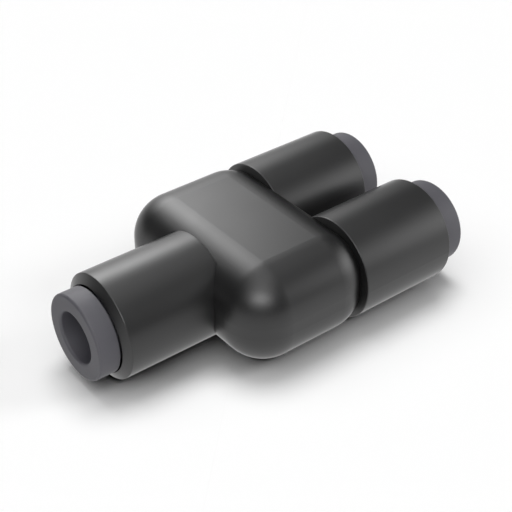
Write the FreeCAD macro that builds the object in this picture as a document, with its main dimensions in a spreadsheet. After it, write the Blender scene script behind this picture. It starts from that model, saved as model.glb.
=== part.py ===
import FreeCAD, Part
import Sketcher

import os

# Push-in Y connector for 4 mm tube: one inlet opposite two parallel outlets.
#
# The rest frame has +X from the inlet to the outlets, +Y across them and +Z up. The origin is under
# the middle of the connector, on the surface that its three round sleeves lie on. Every port is built
# in one local frame: X is the depth, measured inwards from the face of the released collar, and Y is
# the radius.

# Driving dimensions in millimetres.
SIZES = [
    # tube and flow
    ("tube_diameter", 4.0),
    ("tube_play", 0.1),
    ("tube_stop_width", 0.75),
    # housing block
    ("housing_length", 12.3),
    ("housing_side_step", 0.2),
    ("floor_gap", 0.15),
    ("flat_height", 1.0),
    ("outlet_spacing", 1.4),
    ("sleeve_seat", 1.45),
    ("seat_gap", 0.03),
    ("bore_run", 2.5),
    # cartridge sleeve
    ("sleeve_wall", 0.85),
    ("sleeve_length", 9.15),
    ("mouth_bevel_length", 0.42),
    ("mouth_lip", 0.05),
    ("sleeve_edge_round", 0.08),
    ("gland_step", 0.3),
    ("pilot_lead", 0.25),
    ("tube_stop_offset", 0.45),
    # spigot that plugs into the housing
    ("shoulder_width", 1.05),
    ("spigot_length", 3.0),
    ("spigot_gap", 0.02),
    ("spigot_bevel", 0.25),
    ("barb_offset", 0.35),
    ("barb_length", 0.5),
    ("barb_height", 0.15),
    ("barb_gap", 0.05),
    ("seal_groove_offset", 1.3),
    ("seal_groove_width", 1.1),
    ("seal_groove_depth", 0.85),
    # release collar
    ("collar_protrusion", 1.8),
    ("collar_travel", 0.9),
    ("head_step", 0.06),
    ("head_gap", 0.05),
    ("head_lift", 0.13),
    ("head_stop_gap", 0.78),
    ("face_round", 0.22),
    ("rim_round", 0.22),
    ("stem_wall", 0.65),
    ("stem_gap", 0.08),
    ("hook_height", 0.25),
    ("hook_length", 0.35),
    ("hook_gap", 0.05),
    ("hook_room", 0.1),
    ("nose_wall", 0.4),
    ("nose_gap", 0.3),
    ("slot_width", 0.6),
    ("slot_margin", 0.8),
    # rings in the chamber
    ("ring_gap", 0.01),
    ("retainer_wall", 0.34),
    ("retainer_length", 2.0),
    ("throat_length", 0.6),
    ("throat_lead", 0.12),
    ("grip_thickness", 0.25),
    ("tooth_bite", 0.12),
    ("tooth_rise", 0.65),
    ("tooth_slot", 0.5),
    ("backup_length", 1.8),
    ("backup_recess", 1.4),
    ("backup_room", 0.1),
    ("tube_seal_squeeze", 0.11),
    ("tube_seal_room", 0.05),
]
SLOT_PAIRS = 2
TEETH = 8

doc = FreeCAD.newDocument("tubing_y_connector")
sheet = doc.addObject("Spreadsheet::Sheet", "Sizes")
for row, (alias, length) in enumerate(SIZES, start=1):
    sheet.set("A%d" % row, alias.replace("_", " "))
    sheet.set("B%d" % row, str(length))
    sheet.setAlias("B%d" % row, alias)
doc.recompute()


def size(alias):
    """The expression that reads one size from the sheet."""
    return "Sizes." + alias


def half(alias):
    return "(Sizes.%s / 2)" % alias


def plus(*terms):
    return "(" + " + ".join(terms) + ")"


def minus(first, *rest):
    return "(" + " - ".join((first,) + rest) + ")"


def value(expression):
    """The present number behind an expression."""
    found = sheet.evalExpression(expression)
    return float(getattr(found, "Value", found))


# Radii about a port's axis, from the tube outwards: each follows from the one inside it.
TUBE = half("tube_diameter")
TUBE_BORE = plus(TUBE, half("tube_play"))
FLOW_BORE = minus(TUBE_BORE, size("tube_stop_width"))
STEM = plus(TUBE_BORE, size("stem_wall"))
HOOK = plus(STEM, size("hook_height"))
NOSE = plus(TUBE_BORE, size("nose_wall"))
THROAT = plus(STEM, size("stem_gap"))
UNDERCUT = plus(HOOK, size("hook_room"))
RING_OUTSIDE = plus(UNDERCUT, size("retainer_wall"))
CHAMBER = plus(RING_OUTSIDE, size("ring_gap"))
HEAD = plus(RING_OUTSIDE, size("head_step"))
MOUTH_BORE = plus(HEAD, size("head_gap"))
SLEEVE_OUTSIDE = plus(CHAMBER, size("sleeve_wall"))
GLAND = minus(CHAMBER, size("gland_step"))
SPIGOT = minus(SLEEVE_OUTSIDE, size("shoulder_width"))
GROOVE_FLOOR = minus(SPIGOT, size("seal_groove_depth"))
HOUSING_BORE = plus(SPIGOT, size("spigot_gap"))
GRIP_ROOT = HOOK
TOOTH_TIP = minus(TUBE, size("tooth_bite"))
BACKUP_BORE = plus(TUBE_BORE, size("backup_room"))
# The tube seal fills the space between the gland's wall and just inside the tube's surface.
TUBE_SEAL_INSIDE = minus(TUBE, size("tube_seal_squeeze"))
TUBE_SEAL_OUTSIDE = minus(GLAND, size("ring_gap"))
TUBE_SEAL_SECTION = "(%s / 2)" % minus(TUBE_SEAL_OUTSIDE, TUBE_SEAL_INSIDE)
TUBE_SEAL_MIDDLE = "(%s / 2)" % plus(TUBE_SEAL_OUTSIDE, TUBE_SEAL_INSIDE)

# Depths along a port, from the released collar's face inwards.
MOUTH = size("collar_protrusion")
HEAD_BACK = minus(MOUTH, size("head_lift"))
RING_FRONT = plus(HEAD_BACK, size("collar_travel"), size("head_stop_gap"))
THROAT_BACK = plus(RING_FRONT, size("throat_length"))
HOOK_FRONT = plus(THROAT_BACK, size("hook_gap"))
GRIP_FRONT = plus(RING_FRONT, size("retainer_length"))
GRIP_BACK = plus(GRIP_FRONT, size("grip_thickness"))
BACKUP_BACK = plus(GRIP_BACK, size("backup_length"))
TUBE_SEAL_DEPTH = plus(BACKUP_BACK, size("tube_seal_room"), TUBE_SEAL_SECTION)
GLAND_BACK = plus(TUBE_SEAL_DEPTH, TUBE_SEAL_SECTION, size("tube_seal_room"))
SHOULDER = plus(MOUTH, size("sleeve_length"))
TUBE_STOP = plus(SHOULDER, size("tube_stop_offset"))
SPIGOT_END = plus(SHOULDER, size("spigot_length"))
BARB_FRONT = plus(SHOULDER, size("barb_offset"))
GROOVE_FRONT = plus(SHOULDER, size("seal_groove_offset"))

# The back of a tooth follows a cone from its root to its tip, so this is the depth it gains for
# each millimetre that it reaches inwards. The collar's nose stops short of that cone.
TOOTH_SLOPE = "(%s / %s)" % (size("tooth_rise"), minus(GRIP_ROOT, TOOTH_TIP))
NOSE_TIP = "(%s + %s * %s - %s)" % (
    GRIP_FRONT,
    minus(GRIP_ROOT, NOSE),
    TOOTH_SLOPE,
    size("nose_gap"),
)

# The block stops just inside the sleeves' outer lines at its sides, and just above the floor.
OUTLET_PITCH = plus(SLEEVE_OUTSIDE, SLEEVE_OUTSIDE, size("outlet_spacing"))
HALF_WIDTH = plus("(%s / 2)" % OUTLET_PITCH, minus(SLEEVE_OUTSIDE, size("housing_side_step")))
HALF_HEIGHT = minus(SLEEVE_OUTSIDE, size("floor_gap"))
HOUSING_ROUND = minus(HALF_HEIGHT, half("flat_height"))

# The middle of the housing lies over the origin, and the collar faces lie this far from it.
REACH = minus(plus(half("housing_length"), SHOULDER), size("sleeve_seat"))
AXIS_HEIGHT = SLEEVE_OUTSIDE
HALF_PITCH = "(%s / 2)" % OUTLET_PITCH
# Each port: x and y of its collar face, and the turn that points its local X inwards.
PORTS = {
    "inlet": ("-" + REACH, None, 0),
    "left_outlet": (REACH, HALF_PITCH, 180),
    "right_outlet": (REACH, "-" + HALF_PITCH, 180),
}


def place(item, prop, port):
    """Ties a placement to a port: a body's own, or the offset of a sketch."""
    x, y, turn = PORTS[port]
    setattr(
        item,
        prop,
        FreeCAD.Placement(
            FreeCAD.Vector(), FreeCAD.Rotation(FreeCAD.Vector(0, 0, 1), turn)
        ),
    )
    item.setExpression(prop + ".Base.x", x)
    if y:
        item.setExpression(prop + ".Base.y", y)
    item.setExpression(prop + ".Base.z", AXIS_HEIGHT)


def new_body(node):
    body = doc.addObject("PartDesign::Body", node)
    body.Label = node
    return body


def origin_part(body, role):
    """One of the body's own origin planes or axes, by its role."""
    return next(part for part in body.Origin.OriginFeatures if part.Role == role)


def new_sketch(body, name, plane="XY_Plane"):
    sketch = body.newObject("Sketcher::SketchObject", name)
    sketch.AttachmentSupport = [(origin_part(body, plane), "")]
    sketch.MapMode = "FlatFace"
    return sketch


def outline(sketch, points):
    """Draws a closed outline of straight edges, each corner tied to its two expressions.

    A corner given as "0" lies on the axis that it names.
    """
    corners = [
        FreeCAD.Vector(*[0.0 if term == "0" else value(term) for term in point])
        for point in points
    ]
    count = len(corners)
    for index, corner in enumerate(corners):
        sketch.addGeometry(Part.LineSegment(corner, corners[(index + 1) % count]), False)
    for index in range(count):
        sketch.addConstraint(
            Sketcher.Constraint("Coincident", index, 2, (index + 1) % count, 1)
        )
    for index, (point, corner) in enumerate(zip(points, corners)):
        for kind, axis, term, number in (
            ("DistanceX", -2, point[0], corner.x),
            ("DistanceY", -1, point[1], corner.y),
        ):
            if term == "0":
                sketch.addConstraint(
                    Sketcher.Constraint("PointOnObject", index, 1, axis)
                )
                continue
            constraint = sketch.addConstraint(
                Sketcher.Constraint(kind, -1, 1, index, 1, number)
            )
            sketch.setExpression("Constraints[%d]" % constraint, term)


def ring_section(sketch, depth, middle, section):
    """Draws the round section of a seal: its depth, its distance from the axis, its radius."""
    sketch.addGeometry(
        Part.Circle(
            FreeCAD.Vector(value(depth), value(middle), 0),
            FreeCAD.Vector(0, 0, 1),
            value(section),
        ),
        False,
    )
    for kind, term in (("DistanceX", depth), ("DistanceY", middle)):
        constraint = sketch.addConstraint(
            Sketcher.Constraint(kind, -1, 1, 0, 3, value(term))
        )
        sketch.setExpression("Constraints[%d]" % constraint, term)
    constraint = sketch.addConstraint(Sketcher.Constraint("Radius", 0, value(section)))
    sketch.setExpression("Constraints[%d]" % constraint, section)


def revolve(body, kind, name, sketch):
    """A full turn of a sketch about its own horizontal axis."""
    feature = body.newObject("PartDesign::" + kind, name)
    feature.Profile = sketch
    feature.ReferenceAxis = (sketch, ["H_Axis"])
    feature.Angle = 360
    return feature


def round_edges(body, name, base, length, circles):
    """Rounds the circular edges of base that lie at the given depths and radii."""
    doc.recompute()
    wanted = [(value(depth), value(radial)) for depth, radial in circles]
    names = [
        "Edge%d" % number
        for number, edge in enumerate(base.Shape.Edges, start=1)
        if isinstance(edge.Curve, Part.Circle)
        and any(
            abs(edge.Curve.Center.x - depth) < 1e-4
            and abs(edge.Curve.Radius - radial) < 1e-4
            for depth, radial in wanted
        )
    ]
    if len(names) < len(wanted):
        raise RuntimeError("%s: %d of %d edges found" % (name, len(names), len(wanted)))
    feature = body.newObject("PartDesign::Fillet", name)
    feature.Base = (base, names)
    feature.Radius = value(length)
    feature.setExpression("Radius", length)
    return feature


def pattern(body, name, original, count, angle):
    """Repeats a cut about the port's axis."""
    feature = body.newObject("PartDesign::PolarPattern", name)
    feature.Originals = [original]
    feature.Axis = (origin_part(body, "X_Axis"), [""])
    feature.Angle = angle
    feature.Occurrences = count
    body.Tip = feature
    return feature


def through_cut(body, name, sketch):
    """A pocket that runs right through, both ways from its sketch."""
    doc.recompute()
    before = body.Shape.Volume
    feature = body.newObject("PartDesign::Pocket", name)
    feature.Profile = sketch
    feature.Type = "ThroughAll"
    feature.Midplane = True
    doc.recompute()
    if not feature.Shape.Volume < before:
        raise RuntimeError(name + " cuts nothing")
    return feature


def make_housing():
    """The block: fully rounded edges, and a stepped bore for each of the three cartridges."""
    body = new_body("housing")
    sketch = new_sketch(body, "block_outline")
    sketch.AttachmentOffset = FreeCAD.Placement()
    sketch.setExpression("AttachmentOffset.Base.z", minus(AXIS_HEIGHT, HALF_HEIGHT))
    reach_x = value(half("housing_length"))
    reach_y = value(HALF_WIDTH)
    corners = [
        FreeCAD.Vector(sign_x * reach_x, sign_y * reach_y, 0)
        for sign_x, sign_y in ((-1, -1), (1, -1), (1, 1), (-1, 1))
    ]
    for index, corner in enumerate(corners):
        sketch.addGeometry(Part.LineSegment(corner, corners[(index + 1) % 4]), False)
    for index in range(4):
        sketch.addConstraint(
            Sketcher.Constraint("Coincident", index, 2, (index + 1) % 4, 1)
        )
    sketch.addConstraint(Sketcher.Constraint("Horizontal", 0))
    sketch.addConstraint(Sketcher.Constraint("Vertical", 1))
    sketch.addConstraint(Sketcher.Constraint("Horizontal", 2))
    sketch.addConstraint(Sketcher.Constraint("Vertical", 3))
    sketch.addConstraint(Sketcher.Constraint("Symmetric", 0, 1, 1, 2, -1, 1))
    for kind, line, term in (
        ("DistanceX", 0, size("housing_length")),
        ("DistanceY", 1, plus(HALF_WIDTH, HALF_WIDTH)),
    ):
        constraint = sketch.addConstraint(
            Sketcher.Constraint(kind, line, 1, line, 2, value(term))
        )
        sketch.setExpression("Constraints[%d]" % constraint, term)
    pad = body.newObject("PartDesign::Pad", "block")
    pad.Profile = sketch
    height = plus(HALF_HEIGHT, HALF_HEIGHT)
    pad.Length = value(height)
    pad.setExpression("Length", height)
    doc.recompute()
    rounded = body.newObject("PartDesign::Fillet", "block_rounds")
    rounded.Base = (pad, ["Edge%d" % n for n in range(1, len(pad.Shape.Edges) + 1)])
    rounded.Radius = value(HOUSING_ROUND)
    rounded.setExpression("Radius", HOUSING_ROUND)

    seat = plus(SLEEVE_OUTSIDE, size("seat_gap"))
    open_side = minus(SHOULDER, size("sleeve_seat"), size("sleeve_seat"))
    barb_room = plus(HOUSING_BORE, size("barb_height"))
    barb_room_front = minus(BARB_FRONT, size("barb_gap"))
    barb_room_back = plus(BARB_FRONT, size("barb_length"), size("barb_gap"))
    bore_end = plus(SPIGOT_END, size("bore_run"))
    for port in PORTS:
        sketch = new_sketch(body, port + "_bore_outline")
        place(sketch, "AttachmentOffset", port)
        outline(
            sketch,
            [
                (open_side, "0"),
                (open_side, seat),
                (SHOULDER, seat),
                (SHOULDER, HOUSING_BORE),
                (barb_room_front, HOUSING_BORE),
                (barb_room_front, barb_room),
                (barb_room_back, barb_room),
                (barb_room_back, HOUSING_BORE),
                (bore_end, HOUSING_BORE),
                (bore_end, "0"),
            ],
        )
        doc.recompute()
        before = body.Shape.Volume
        groove = revolve(body, "Groove", port + "_bore", sketch)
        doc.recompute()
        if not groove.Shape.Volume < before:
            raise RuntimeError(port + " bore cuts nothing")
    return body


def make_sleeve(port):
    """The cartridge sleeve: bevelled mouth, stepped chamber, tube stop and barbed spigot."""
    body = new_body(port + "_sleeve")
    place(body, "Placement", port)
    sketch = new_sketch(body, port + "_sleeve_outline")
    bevel_back = plus(MOUTH, size("mouth_bevel_length"))
    groove_back = plus(GROOVE_FRONT, size("seal_groove_width"))
    outline(
        sketch,
        [
            (MOUTH, plus(MOUTH_BORE, size("mouth_lip"))),
            (bevel_back, SLEEVE_OUTSIDE),
            (SHOULDER, SLEEVE_OUTSIDE),
            (SHOULDER, SPIGOT),
            (BARB_FRONT, SPIGOT),
            (BARB_FRONT, plus(SPIGOT, size("barb_height"))),
            (plus(BARB_FRONT, size("barb_length")), SPIGOT),
            (GROOVE_FRONT, SPIGOT),
            (GROOVE_FRONT, GROOVE_FLOOR),
            (groove_back, GROOVE_FLOOR),
            (groove_back, SPIGOT),
            (minus(SPIGOT_END, size("spigot_bevel")), SPIGOT),
            (SPIGOT_END, minus(SPIGOT, size("spigot_bevel"))),
            (SPIGOT_END, FLOW_BORE),
            (TUBE_STOP, FLOW_BORE),
            (TUBE_STOP, TUBE_BORE),
            (plus(GLAND_BACK, size("pilot_lead")), TUBE_BORE),
            (GLAND_BACK, plus(TUBE_BORE, size("pilot_lead"))),
            (GLAND_BACK, GLAND),
            (BACKUP_BACK, GLAND),
            (BACKUP_BACK, CHAMBER),
            (RING_FRONT, CHAMBER),
            (RING_FRONT, MOUTH_BORE),
            (MOUTH, MOUTH_BORE),
        ],
    )
    turned = revolve(body, "Revolution", port + "_sleeve_turned", sketch)
    round_edges(
        body,
        port + "_sleeve_edges",
        turned,
        size("sleeve_edge_round"),
        [(bevel_back, SLEEVE_OUTSIDE), (SHOULDER, SLEEVE_OUTSIDE)],
    )
    return body


def make_release_collar(port):
    """The grey collar that is pressed to free the tube: a head, and a slotted stem with hooks."""
    body = new_body(port + "_release_collar")
    place(body, "Placement", port)
    sketch = new_sketch(body, port + "_collar_outline")
    outline(
        sketch,
        [
            ("0", TUBE_BORE),
            ("0", HEAD),
            (HEAD_BACK, HEAD),
            (HEAD_BACK, STEM),
            (HOOK_FRONT, STEM),
            (HOOK_FRONT, HOOK),
            (plus(HOOK_FRONT, size("hook_length")), HOOK),
            (NOSE_TIP, NOSE),
            (NOSE_TIP, TUBE_BORE),
        ],
    )
    turned = revolve(body, "Revolution", port + "_collar_turned", sketch)
    face = round_edges(
        body, port + "_collar_face", turned, size("face_round"), [("0 mm", HEAD)]
    )
    round_edges(
        body, port + "_collar_rim", face, size("rim_round"), [("0 mm", TUBE_BORE)]
    )
    slot = new_sketch(body, port + "_collar_slot_outline")
    half_slot = half("slot_width")
    slot_start = plus(HEAD_BACK, size("slot_margin"))
    slot_end = plus(NOSE_TIP, size("slot_margin"))
    outline(
        slot,
        [
            (slot_start, "-" + half_slot),
            (slot_end, "-" + half_slot),
            (slot_end, half_slot),
            (slot_start, half_slot),
        ],
    )
    cut = through_cut(body, port + "_collar_slot", slot)
    pattern(body, port + "_collar_slots", cut, SLOT_PAIRS, 180 / SLOT_PAIRS)
    return body


def make_retaining_ring(port):
    """The ring pressed into the chamber: it stops the collar's hooks and clamps the grip ring."""
    body = new_body(port + "_retaining_ring")
    place(body, "Placement", port)
    sketch = new_sketch(body, port + "_retaining_ring_outline")
    lead = size("throat_lead")
    outline(
        sketch,
        [
            (RING_FRONT, plus(THROAT, lead)),
            (RING_FRONT, RING_OUTSIDE),
            (GRIP_FRONT, RING_OUTSIDE),
            (GRIP_FRONT, UNDERCUT),
            (THROAT_BACK, UNDERCUT),
            (THROAT_BACK, THROAT),
            (plus(RING_FRONT, lead), THROAT),
        ],
    )
    revolve(body, "Revolution", port + "_retaining_ring_turned", sketch)
    return body


def make_grip_ring(port):
    """The stainless grip ring: a flat rim and inclined teeth parted by radial slots."""
    body = new_body(port + "_grip_ring")
    place(body, "Placement", port)
    sketch = new_sketch(body, port + "_grip_ring_outline")
    outline(
        sketch,
        [
            (GRIP_FRONT, GRIP_ROOT),
            (GRIP_FRONT, RING_OUTSIDE),
            (GRIP_BACK, RING_OUTSIDE),
            (GRIP_BACK, GRIP_ROOT),
            (plus(GRIP_BACK, size("tooth_rise")), TOOTH_TIP),
            (plus(GRIP_FRONT, size("tooth_rise")), TOOTH_TIP),
        ],
    )
    revolve(body, "Revolution", port + "_grip_ring_pressed", sketch)
    slot = new_sketch(body, port + "_grip_ring_slot_outline", "YZ_Plane")
    half_slot = half("tooth_slot")
    inner = minus(TOOTH_TIP, size("tooth_slot"))
    outline(
        slot,
        [
            (inner, "-" + half_slot),
            (GRIP_ROOT, "-" + half_slot),
            (GRIP_ROOT, half_slot),
            (inner, half_slot),
        ],
    )
    cut = through_cut(body, port + "_grip_ring_slot", slot)
    pattern(body, port + "_grip_ring_slots", cut, TEETH, 360)
    return body


def make_backup_ring(port):
    """The spacer between the grip ring and the tube seal, hollowed where the teeth bend."""
    body = new_body(port + "_backup_ring")
    place(body, "Placement", port)
    sketch = new_sketch(body, port + "_backup_ring_outline")
    outline(
        sketch,
        [
            (GRIP_BACK, GRIP_ROOT),
            (GRIP_BACK, RING_OUTSIDE),
            (BACKUP_BACK, RING_OUTSIDE),
            (BACKUP_BACK, BACKUP_BORE),
            (plus(GRIP_BACK, size("backup_recess")), BACKUP_BORE),
        ],
    )
    revolve(body, "Revolution", port + "_backup_ring_turned", sketch)
    return body


def make_tube_seal(port):
    """The o-ring that seals on the tube, lying against the gland's wall."""
    body = new_body(port + "_tube_seal")
    place(body, "Placement", port)
    sketch = new_sketch(body, port + "_tube_seal_section")
    ring_section(sketch, TUBE_SEAL_DEPTH, TUBE_SEAL_MIDDLE, TUBE_SEAL_SECTION)
    revolve(body, "Revolution", port + "_tube_seal_ring", sketch)
    return body


def make_spigot_seal(port):
    """The o-ring in the spigot's groove, as squeezed by the housing bore."""
    body = new_body(port + "_spigot_seal")
    place(body, "Placement", port)
    sketch = new_sketch(body, port + "_spigot_seal_section")
    ring_section(
        sketch,
        plus(GROOVE_FRONT, half("seal_groove_width")),
        "(%s / 2)" % plus(HOUSING_BORE, GROOVE_FLOOR),
        minus("(%s / 2)" % minus(HOUSING_BORE, GROOVE_FLOOR), size("ring_gap")),
    )
    revolve(body, "Revolution", port + "_spigot_seal_ring", sketch)
    return body


pieces = [make_housing()]
for port in PORTS:
    for make in (
        make_sleeve,
        make_release_collar,
        make_retaining_ring,
        make_grip_ring,
        make_backup_ring,
        make_tube_seal,
        make_spigot_seal,
    ):
        pieces.append(make(port))
doc.recompute()

for item in doc.Objects:
    if {"Invalid", "Error"} & set(item.State):
        raise RuntimeError("%s failed: %s" % (item.Label, item.State))
for piece in pieces:
    if piece.Shape.isNull() or not piece.Shape.isValid():
        raise RuntimeError(piece.Label + " has no valid shape")

os.makedirs("parts", exist_ok=True)
for piece in pieces:
    piece.Shape.exportStep("parts/%s.step" % piece.Label)
    box = piece.Shape.BoundBox
    print(
        "%-30s %9.3f mm3  x %.2f..%.2f  y %.2f..%.2f  z %.2f..%.2f"
        % (
            piece.Label,
            piece.Shape.Volume,
            box.XMin,
            box.XMax,
            box.YMin,
            box.YMax,
            box.ZMin,
            box.ZMax,
        )
    )
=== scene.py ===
import math

import bpy
from mathutils import Matrix, Vector

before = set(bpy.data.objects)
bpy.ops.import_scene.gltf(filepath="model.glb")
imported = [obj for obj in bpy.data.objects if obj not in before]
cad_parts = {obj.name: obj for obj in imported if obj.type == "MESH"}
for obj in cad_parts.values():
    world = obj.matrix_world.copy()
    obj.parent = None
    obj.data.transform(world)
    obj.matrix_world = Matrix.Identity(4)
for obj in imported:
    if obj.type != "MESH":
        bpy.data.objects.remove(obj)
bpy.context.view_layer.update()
print("frame loaded:", len(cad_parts), "pieces")

scene = bpy.context.scene
scene.view_settings.view_transform = "Standard"


def towards(azimuth, elevation):
    # A direction out from the part, in degrees: azimuth round from +X, elevation up from the floor.
    a = math.radians(azimuth)
    e = math.radians(elevation)
    return Vector((math.cos(a) * math.cos(e), math.sin(a) * math.cos(e), math.sin(e)))


def placed(azimuth, elevation, place):
    # Where a camera or lamp stands, upright and looking back along its direction.
    outward = towards(azimuth, elevation)
    across = towards(azimuth + 90.0, 0.0)
    turn = Matrix((across, outward.cross(across), outward)).transposed().to_4x4()
    return Matrix.Translation(place) @ turn


# The camera stands close, in front of the inlet and to its right.
cameraSet = {
    "azimuth": -128.218,
    "elevation": 35.776,
    "place": (-0.04763, -0.06185, 0.06088),
    "lens": 85.93,  # millimetres, as the sensor's width is
    "sensor": 36.0,
    "near": 0.002,
    "far": 20.0,
}
camera = bpy.data.objects.new("camera", bpy.data.cameras.new("camera"))
camera.matrix_world = placed(cameraSet["azimuth"], cameraSet["elevation"], cameraSet["place"])
camera.data.lens = cameraSet["lens"]
camera.data.sensor_width = cameraSet["sensor"]
camera.data.clip_start = cameraSet["near"]
camera.data.clip_end = cameraSet["far"]
scene.collection.objects.link(camera)
scene.camera = camera
print("camera set")

# What each kind of lamp lights: the soft boxes light the part alone, the suns the floor alone.
partOnly = bpy.data.collections.new("partOnly")
floorOnly = bpy.data.collections.new("floorOnly")
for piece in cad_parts.values():
    partOnly.objects.link(piece)

# Soft boxes, brightest in the middle. They stand close, as in a small light tent, so each end of the
# part sees them a little differently. Distances and sizes are in metres, glow is the middle's brightness.
boxSet = {
    "keyBox": {
        "azimuth": 72.5, "elevation": 31.0, "distance": 0.105, "size": (0.145, 0.140), "glow": 2.71,
    },
    "behindBox": {
        "azimuth": 84.0, "elevation": 46.3, "distance": 0.055, "size": (0.064, 0.033), "glow": 6.92,
    },
    "rightBox": {
        "azimuth": -31.1, "elevation": 21.4, "distance": 0.096, "size": (0.138, 0.097), "glow": 3.41,
    },
    "leftBox": {
        "azimuth": -132.5, "elevation": 39.9, "distance": 0.078, "size": (0.087, 0.039), "glow": 7.44,
    },
    "topBox": {
        "azimuth": 58.2, "elevation": 86.0, "distance": 0.127, "size": (0.239, 0.261), "glow": 1.44,
    },
    "frontBox": {
        "azimuth": -133.1, "elevation": 52.0, "distance": 0.100, "size": (0.210, 0.174), "glow": 1.15,
    },
}
for name, box in boxSet.items():
    lamp = bpy.data.objects.new(name, bpy.data.lights.new(name, "AREA"))
    lamp.data.shape = "RECTANGLE"
    lamp.data.size, lamp.data.size_y = box["size"]
    lamp.data.energy = box["glow"] * math.pi * box["size"][0] * box["size"][1]
    stand = towards(box["azimuth"], box["elevation"]) * box["distance"]
    lamp.matrix_world = placed(box["azimuth"], box["elevation"], stand)
    lamp.visible_camera = False
    lamp.light_linking.receiver_collection = partOnly
    lamp.data.use_nodes = True
    nodes = lamp.data.node_tree.nodes
    links = lamp.data.node_tree.links
    spot = nodes.new("ShaderNodeNewGeometry")
    # Measured from the middle, a point at the middle of a side is at 1, and there the glow has gone.
    centred = nodes.new("ShaderNodeVectorMath")
    centred.operation = "MULTIPLY_ADD"
    centred.inputs[1].default_value = (2.0, 2.0, 0.0)
    centred.inputs[2].default_value = (-1.0, -1.0, 0.0)
    away = nodes.new("ShaderNodeVectorMath")
    away.operation = "LENGTH"
    fade = nodes.new("ShaderNodeMapRange")
    fade.interpolation_type = "SMOOTHSTEP"
    fade.inputs["To Min"].default_value = 1.0
    fade.inputs["To Max"].default_value = 0.0
    links.new(spot.outputs["Parametric"], centred.inputs[0])
    links.new(centred.outputs[0], away.inputs[0])
    links.new(away.outputs["Value"], fade.inputs["Value"])
    links.new(fade.outputs["Result"], nodes["Emission"].inputs["Strength"])
    scene.collection.objects.link(lamp)

# Wide soft suns that light the floor alone, so that the part's shadow stays close to it.
floorSunSet = {
    "floorHigh": {"azimuth": 55.3, "elevation": 74.6, "spread": 31.6, "power": 1.307},
    "floorWide": {"azimuth": 173.2, "elevation": 75.0, "spread": 88.0, "power": 1.49},
    "floorRight": {"azimuth": -33.1, "elevation": 31.7, "spread": 20.0, "power": 0.577},
}
for name, sun in floorSunSet.items():
    lamp = bpy.data.objects.new(name, bpy.data.lights.new(name, "SUN"))
    lamp.data.energy = sun["power"]
    lamp.data.angle = math.radians(sun["spread"])
    outward = towards(sun["azimuth"], sun["elevation"])
    lamp.rotation_euler = outward.to_track_quat("Z", "Y").to_euler()
    lamp.light_linking.receiver_collection = floorOnly
    scene.collection.objects.link(lamp)

# World: a faint even light, which the camera alone sees as plain white.
worldSet = {"light": 0.040}
world = bpy.data.worlds.new("studio")
world.use_nodes = True
nodes = world.node_tree.nodes
links = world.node_tree.links
nodes["Background"].inputs["Color"].default_value = (1.0, 1.0, 1.0, 1.0)
rays = nodes.new("ShaderNodeLightPath")
seen = nodes.new("ShaderNodeMapRange")
seen.inputs["To Min"].default_value = worldSet["light"]
links.new(rays.outputs["Is Camera Ray"], seen.inputs["Value"])
links.new(seen.outputs["Result"], nodes["Background"].inputs["Strength"])
scene.world = world
print("lamps set")


def newMaterial(name, settings):
    # Plain values go straight on the shader's own sockets.
    material = bpy.data.materials.new(name)
    material.use_nodes = True
    nodes = material.node_tree.nodes
    shader = nodes["Principled BSDF"]
    for socket, value in settings.items():
        shader.inputs[socket].default_value = value
    return material, nodes, material.node_tree.links, shader


grainSet = {
    "grainRoughness": 0.55,
    "driftDetail": 4.0,
    "driftDistortion": 0.6,
    "driftRange": (0.3, 0.7),  # what the slow noise mostly stays within, spread over -1 to 1
}


def makeMouldedGrain():
    # Soft noise in the piece's own space: a fine grain, and a slow drift for gloss and another for tone.
    group = bpy.data.node_groups.new("mouldedGrain", "ShaderNodeTree")
    for name in ("Grain Scale", "Drift Scale", "Detail"):
        group.interface.new_socket(name, in_out="INPUT", socket_type="NodeSocketFloat")
    for name in ("Height", "Gloss", "Tone"):
        group.interface.new_socket(name, in_out="OUTPUT", socket_type="NodeSocketFloat")
    nodes = group.nodes
    links = group.links
    entry = nodes.new("NodeGroupInput")
    leave = nodes.new("NodeGroupOutput")
    place = nodes.new("ShaderNodeTexCoord")
    fine = nodes.new("ShaderNodeTexNoise")
    fine.inputs["Roughness"].default_value = grainSet["grainRoughness"]
    links.new(place.outputs["Object"], fine.inputs["Vector"])
    links.new(entry.outputs["Grain Scale"], fine.inputs["Scale"])
    links.new(entry.outputs["Detail"], fine.inputs["Detail"])
    links.new(fine.outputs["Fac"], leave.inputs["Height"])
    drift = nodes.new("ShaderNodeTexNoise")
    drift.inputs["Detail"].default_value = grainSet["driftDetail"]
    drift.inputs["Distortion"].default_value = grainSet["driftDistortion"]
    links.new(place.outputs["Object"], drift.inputs["Vector"])
    links.new(entry.outputs["Drift Scale"], drift.inputs["Scale"])
    spread = nodes.new("ShaderNodeMapRange")
    spread.inputs["From Min"].default_value = grainSet["driftRange"][0]
    spread.inputs["From Max"].default_value = grainSet["driftRange"][1]
    spread.inputs["To Min"].default_value = -1.0
    links.new(drift.outputs["Fac"], spread.inputs["Value"])
    links.new(spread.outputs["Result"], leave.inputs["Gloss"])
    split = nodes.new("ShaderNodeSeparateColor")
    links.new(drift.outputs["Color"], split.inputs["Color"])
    links.new(split.outputs["Green"], leave.inputs["Tone"])
    return group


mouldedGrain = makeMouldedGrain()


def varied(nodes, links, change, amount, middle):
    # A value that strays from its middle by amount times a changing one.
    step = nodes.new("ShaderNodeMath")
    step.operation = "MULTIPLY_ADD"
    step.inputs[1].default_value = amount
    step.inputs[2].default_value = middle
    links.new(change, step.inputs[0])
    return step.outputs[0]


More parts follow.
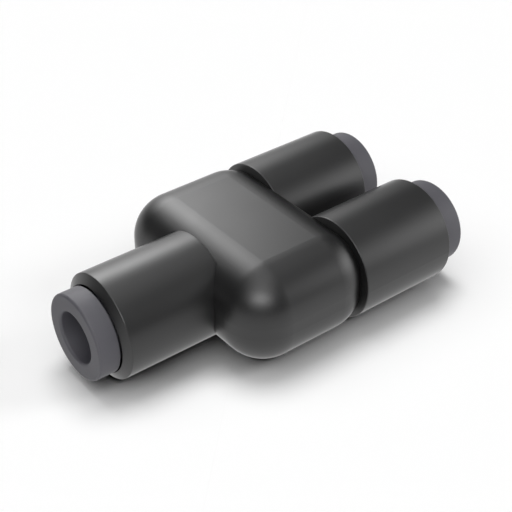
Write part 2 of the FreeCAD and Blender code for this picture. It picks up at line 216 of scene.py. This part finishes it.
def addBump(nodes, links, shader, relief, strength, height):
    bump = nodes.new("ShaderNodeBump")
    bump.inputs["Strength"].default_value = strength
    bump.inputs["Distance"].default_value = height
    links.new(relief, bump.inputs["Height"])
    links.new(bump.outputs["Normal"], shader.inputs["Normal"])


def mouldedMaterial(settings):
    # A moulded finish: tone and gloss drift a little over the surface, and the grain is a fine bump.
    material, nodes, links, shader = newMaterial(settings["name"], settings["sockets"])
    grain = nodes.new("ShaderNodeGroup")
    grain.node_tree = mouldedGrain
    grain.inputs["Grain Scale"].default_value = 1.0 / settings["grainSize"]
    grain.inputs["Drift Scale"].default_value = 1.0 / settings["driftSize"]
    grain.inputs["Detail"].default_value = settings["grainDetail"]
    tone = nodes.new("ShaderNodeMix")
    tone.data_type = "RGBA"
    tone.inputs["A"].default_value = (*settings["darkTone"], 1.0)
    tone.inputs["B"].default_value = (*settings["lightTone"], 1.0)
    links.new(grain.outputs["Tone"], tone.inputs["Factor"])
    links.new(tone.outputs["Result"], shader.inputs["Base Color"])
    drifting = varied(nodes, links, grain.outputs["Gloss"], settings["glossDrift"], settings["roughness"])
    # Seen along the surface, the grain looks smoother than it does seen straight on.
    edge = nodes.new("ShaderNodeLayerWeight")
    smoother = nodes.new("ShaderNodeMapRange")
    smoother.inputs["From Min"].default_value = settings["edgeFrom"]
    smoother.inputs["To Max"].default_value = settings["edgeGloss"]
    links.new(edge.outputs["Facing"], smoother.inputs["Value"])
    rough = nodes.new("ShaderNodeMath")
    rough.operation = "SUBTRACT"
    links.new(drifting, rough.inputs[0])
    links.new(smoother.outputs["Result"], rough.inputs[1])
    links.new(rough.outputs[0], shader.inputs["Roughness"])
    addBump(
        nodes, links, shader, grain.outputs["Height"], settings["grainStrength"], settings["grainHeight"]
    )
    return material


def dress(piece, material):
    piece.data.materials.clear()
    piece.data.materials.append(material)


# In the finishes, sizes and heights are in metres. Seen at a slant, from edgeFrom on (0 is straight on,
# 1 along the surface), roughness falls, and edgeGloss is how much less it is along the surface.

# Block: black glass-filled nylon, satin, with a barely visible grain.
blockFinish = {
    "name": "blockNylon",
    "darkTone": (0.0055, 0.0055, 0.0057),
    "lightTone": (0.0063, 0.0063, 0.0067),
    "roughness": 0.40,
    "glossDrift": 0.015,
    "edgeFrom": 0.65,
    "edgeGloss": 0.16,
    "driftSize": 0.006,
    "grainSize": 0.00012,
    "grainDetail": 2.0,
    "grainStrength": 0.25,
    "grainHeight": 0.000004,
    "sockets": {"IOR": 1.5, "Specular IOR Level": 0.750},
}
dress(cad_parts["housing"], mouldedMaterial(blockFinish))

# Sleeves: the same nylon, from a smoother mould.
sleeveFinish = dict(
    blockFinish,
    name="sleeveNylon",
    driftSize=0.004,
    grainSize=0.00009,
    grainStrength=0.2,
)
sleeveNylon = mouldedMaterial(sleeveFinish)

# Collars: dull grey acetal, faintly violet.
collarFinish = {
    "name": "collarAcetal",
    "darkTone": (0.059, 0.057, 0.069),
    "lightTone": (0.066, 0.064, 0.076),
    "roughness": 0.60,
    "glossDrift": 0.03,
    "edgeFrom": 0.65,
    "edgeGloss": 0.1,
    "driftSize": 0.003,
    "grainSize": 0.00007,
    "grainDetail": 3.0,
    "grainStrength": 0.3,
    "grainHeight": 0.000004,
    "sockets": {"IOR": 1.5, "Specular IOR Level": 0.8},
}
collarAcetal = mouldedMaterial(collarFinish)

# Retaining rings: a harder grey plastic, pressed in behind the collars.
retainerFinish = dict(
    collarFinish,
    name="retainerPlastic",
    darkTone=(0.055, 0.055, 0.057),
    lightTone=(0.065, 0.065, 0.067),
    roughness=0.45,
    grainSize=0.00009,
)
retainerPlastic = mouldedMaterial(retainerFinish)

# Backup rings: natural, unpigmented plastic, a little waxy.
backupFinish = {
    "name": "backupPlastic",
    "darkTone": (0.47, 0.46, 0.42),
    "lightTone": (0.53, 0.52, 0.49),
    "roughness": 0.42,
    "glossDrift": 0.04,
    "edgeFrom": 0.65,
    "edgeGloss": 0.1,
    "driftSize": 0.002,
    "grainSize": 0.00008,
    "grainDetail": 3.0,
    "grainStrength": 0.3,
    "grainHeight": 0.000004,
    "sockets": {
        "IOR": 1.48,
        "Subsurface Weight": 0.12,
        "Subsurface Radius": (0.0008, 0.0006, 0.0005),
        "Subsurface Scale": 1.0,
    },
}
backupPlastic = mouldedMaterial(backupFinish)

# Seals: black nitrile rubber, dull with a dry bloom.
sealFinish = {
    "name": "sealRubber",
    "darkTone": (0.016, 0.016, 0.017),
    "lightTone": (0.026, 0.026, 0.027),
    "roughness": 0.62,
    "glossDrift": 0.08,
    "edgeFrom": 0.65,
    "edgeGloss": 0.1,
    "driftSize": 0.0012,
    "grainSize": 0.00005,
    "grainDetail": 4.0,
    "grainStrength": 0.5,
    "grainHeight": 0.000006,
    "sockets": {"IOR": 1.52, "Sheen Weight": 0.05, "Sheen Roughness": 0.5},
}
sealRubber = mouldedMaterial(sealFinish)

# Grip rings: rolled stainless strip, with fine lines from the rollers that also blur its gloss.
gripFinish = {
    "tone": (0.61, 0.60, 0.58, 1.0),
    "roughness": 0.24,
    "lineGloss": 0.16,
    "lineSize": 0.00004,
    "lineStretch": (1.0, 0.06, 1.0),
    "lineDetail": 3.0,
    "lineStrength": 0.4,
    "lineHeight": 0.0000015,
    "anisotropy": 0.45,
}
gripSteel, nodes, links, shader = newMaterial(
    "gripSteel",
    {
        "Base Color": gripFinish["tone"],
        "Metallic": 1.0,
        "Anisotropic": gripFinish["anisotropy"],
    },
)
place = nodes.new("ShaderNodeTexCoord")
stretch = nodes.new("ShaderNodeMapping")
stretch.inputs["Scale"].default_value = gripFinish["lineStretch"]
lines = nodes.new("ShaderNodeTexNoise")
lines.inputs["Scale"].default_value = 1.0 / gripFinish["lineSize"]
lines.inputs["Detail"].default_value = gripFinish["lineDetail"]
links.new(place.outputs["Object"], stretch.inputs["Vector"])
links.new(stretch.outputs["Vector"], lines.inputs["Vector"])
lined = varied(nodes, links, lines.outputs["Fac"], gripFinish["lineGloss"], gripFinish["roughness"])
links.new(lined, shader.inputs["Roughness"])
addBump(
    nodes, links, shader, lines.outputs["Fac"], gripFinish["lineStrength"], gripFinish["lineHeight"]
)

for port in ("inlet", "left_outlet", "right_outlet"):
    dress(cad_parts[port + "_sleeve"], sleeveNylon)
    dress(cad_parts[port + "_release_collar"], collarAcetal)
    dress(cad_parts[port + "_retaining_ring"], retainerPlastic)
    dress(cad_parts[port + "_grip_ring"], gripSteel)
    dress(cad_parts[port + "_backup_ring"], backupPlastic)
    dress(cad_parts[port + "_tube_seal"], sealRubber)
    dress(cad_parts[port + "_spigot_seal"], sealRubber)
print("pieces dressed")

# Floor: pale and plain, with a painted shadow line along the part. Glossy rays see it nearly white all
# over and, as a painted reflection in the outlets' lower sides, quite white beside the outlets; only the
# camera sees it pure white. Light that it gets back from the part doesn't count as glossy.
floorSet = {
    "size": 6.0,
    "tone": 0.9,
    "cameraTone": 1.0,
    "mirrored": (0.95, 1.0),  # beside the inlet, beside the outlets, raised there as a painted reflection; 1 is plain white
    "mirroredRun": (0.0, 0.018),  # metres along X, from the first of these to the second
    "mirroredShare": 0.9,  # the rest shows the floor with the part's shadow on it
    "paintedShadowReach": 0.00048,  # metres, how far the painted shadow line reaches where the part almost touches the floor
    "paintedShadowRange": (0.30, 0.90),  # how open the floor is where the painted shadow line is darkest, and where it ends
    "paintedShadowSamples": 16,
}
floorMaterial, nodes, links, shader = newMaterial(
    "paleFloor", {"Roughness": 1.0, "Specular IOR Level": 0.0}
)
rays = nodes.new("ShaderNodeLightPath")
tone = nodes.new("ShaderNodeMix")
tone.data_type = "RGBA"
tone.inputs["A"].default_value = (floorSet["tone"],) * 3 + (1.0,)
tone.inputs["B"].default_value = (floorSet["cameraTone"],) * 3 + (1.0,)
links.new(rays.outputs["Is Camera Ray"], tone.inputs["Factor"])
# Painted shade: an occlusion node darkens the floor's colour in a thin shadow line that follows the part
# where it almost touches the floor.
paintedShadowAO = nodes.new("ShaderNodeAmbientOcclusion")
paintedShadowAO.samples = floorSet["paintedShadowSamples"]
paintedShadowAO.inputs["Distance"].default_value = floorSet["paintedShadowReach"]
clear = nodes.new("ShaderNodeMapRange")
clear.inputs["From Min"].default_value = floorSet["paintedShadowRange"][0]
clear.inputs["From Max"].default_value = floorSet["paintedShadowRange"][1]
shaded = nodes.new("ShaderNodeVectorMath")
shaded.operation = "SCALE"
links.new(paintedShadowAO.outputs["AO"], clear.inputs["Value"])
links.new(tone.outputs["Result"], shaded.inputs[0])
links.new(clear.outputs["Result"], shaded.inputs["Scale"])
links.new(shaded.outputs["Vector"], shader.inputs["Base Color"])
# Glossy and transmission rays straight from the part see a glow, which grows from inlet to outlets: a
# painted reflection that brightens the outlets' lower sides.
glow = nodes.new("ShaderNodeEmission")
where = nodes.new("ShaderNodeTexCoord")
along = nodes.new("ShaderNodeSeparateXYZ")
links.new(where.outputs["Object"], along.inputs["Vector"])
run = nodes.new("ShaderNodeMapRange")
run.interpolation_type = "SMOOTHSTEP"
run.inputs["From Min"].default_value = floorSet["mirroredRun"][0]
run.inputs["From Max"].default_value = floorSet["mirroredRun"][1]
run.inputs["To Min"].default_value = floorSet["mirrored"][0]
run.inputs["To Max"].default_value = floorSet["mirrored"][1]
links.new(along.outputs["X"], run.inputs["Value"])
links.new(run.outputs["Result"], glow.inputs["Strength"])
mirrored = nodes.new("ShaderNodeMath")
mirrored.operation = "MAXIMUM"
links.new(rays.outputs["Is Glossy Ray"], mirrored.inputs[0])
links.new(rays.outputs["Is Transmission Ray"], mirrored.inputs[1])
direct = nodes.new("ShaderNodeMath")
direct.operation = "SUBTRACT"
direct.use_clamp = True
partly = nodes.new("ShaderNodeMath")
partly.operation = "MULTIPLY"
partly.inputs[1].default_value = floorSet["mirroredShare"]
links.new(mirrored.outputs[0], direct.inputs[0])
links.new(rays.outputs["Diffuse Depth"], direct.inputs[1])
links.new(direct.outputs[0], partly.inputs[0])
mix = nodes.new("ShaderNodeMixShader")
links.new(partly.outputs[0], mix.inputs[0])
links.new(shader.outputs[0], mix.inputs[1])
links.new(glow.outputs[0], mix.inputs[2])
links.new(mix.outputs[0], nodes["Material Output"].inputs["Surface"])
floorMesh = bpy.data.meshes.new("floor")
half = floorSet["size"] / 2
floorMesh.from_pydata(
    [(-half, -half, 0.0), (half, -half, 0.0), (half, half, 0.0), (-half, half, 0.0)],
    [],
    [(0, 1, 2, 3)],
)
floorMesh.materials.append(floorMaterial)
floor = bpy.data.objects.new("floor", floorMesh)
scene.collection.objects.link(floor)
floorOnly.objects.link(floor)
print("floor set")
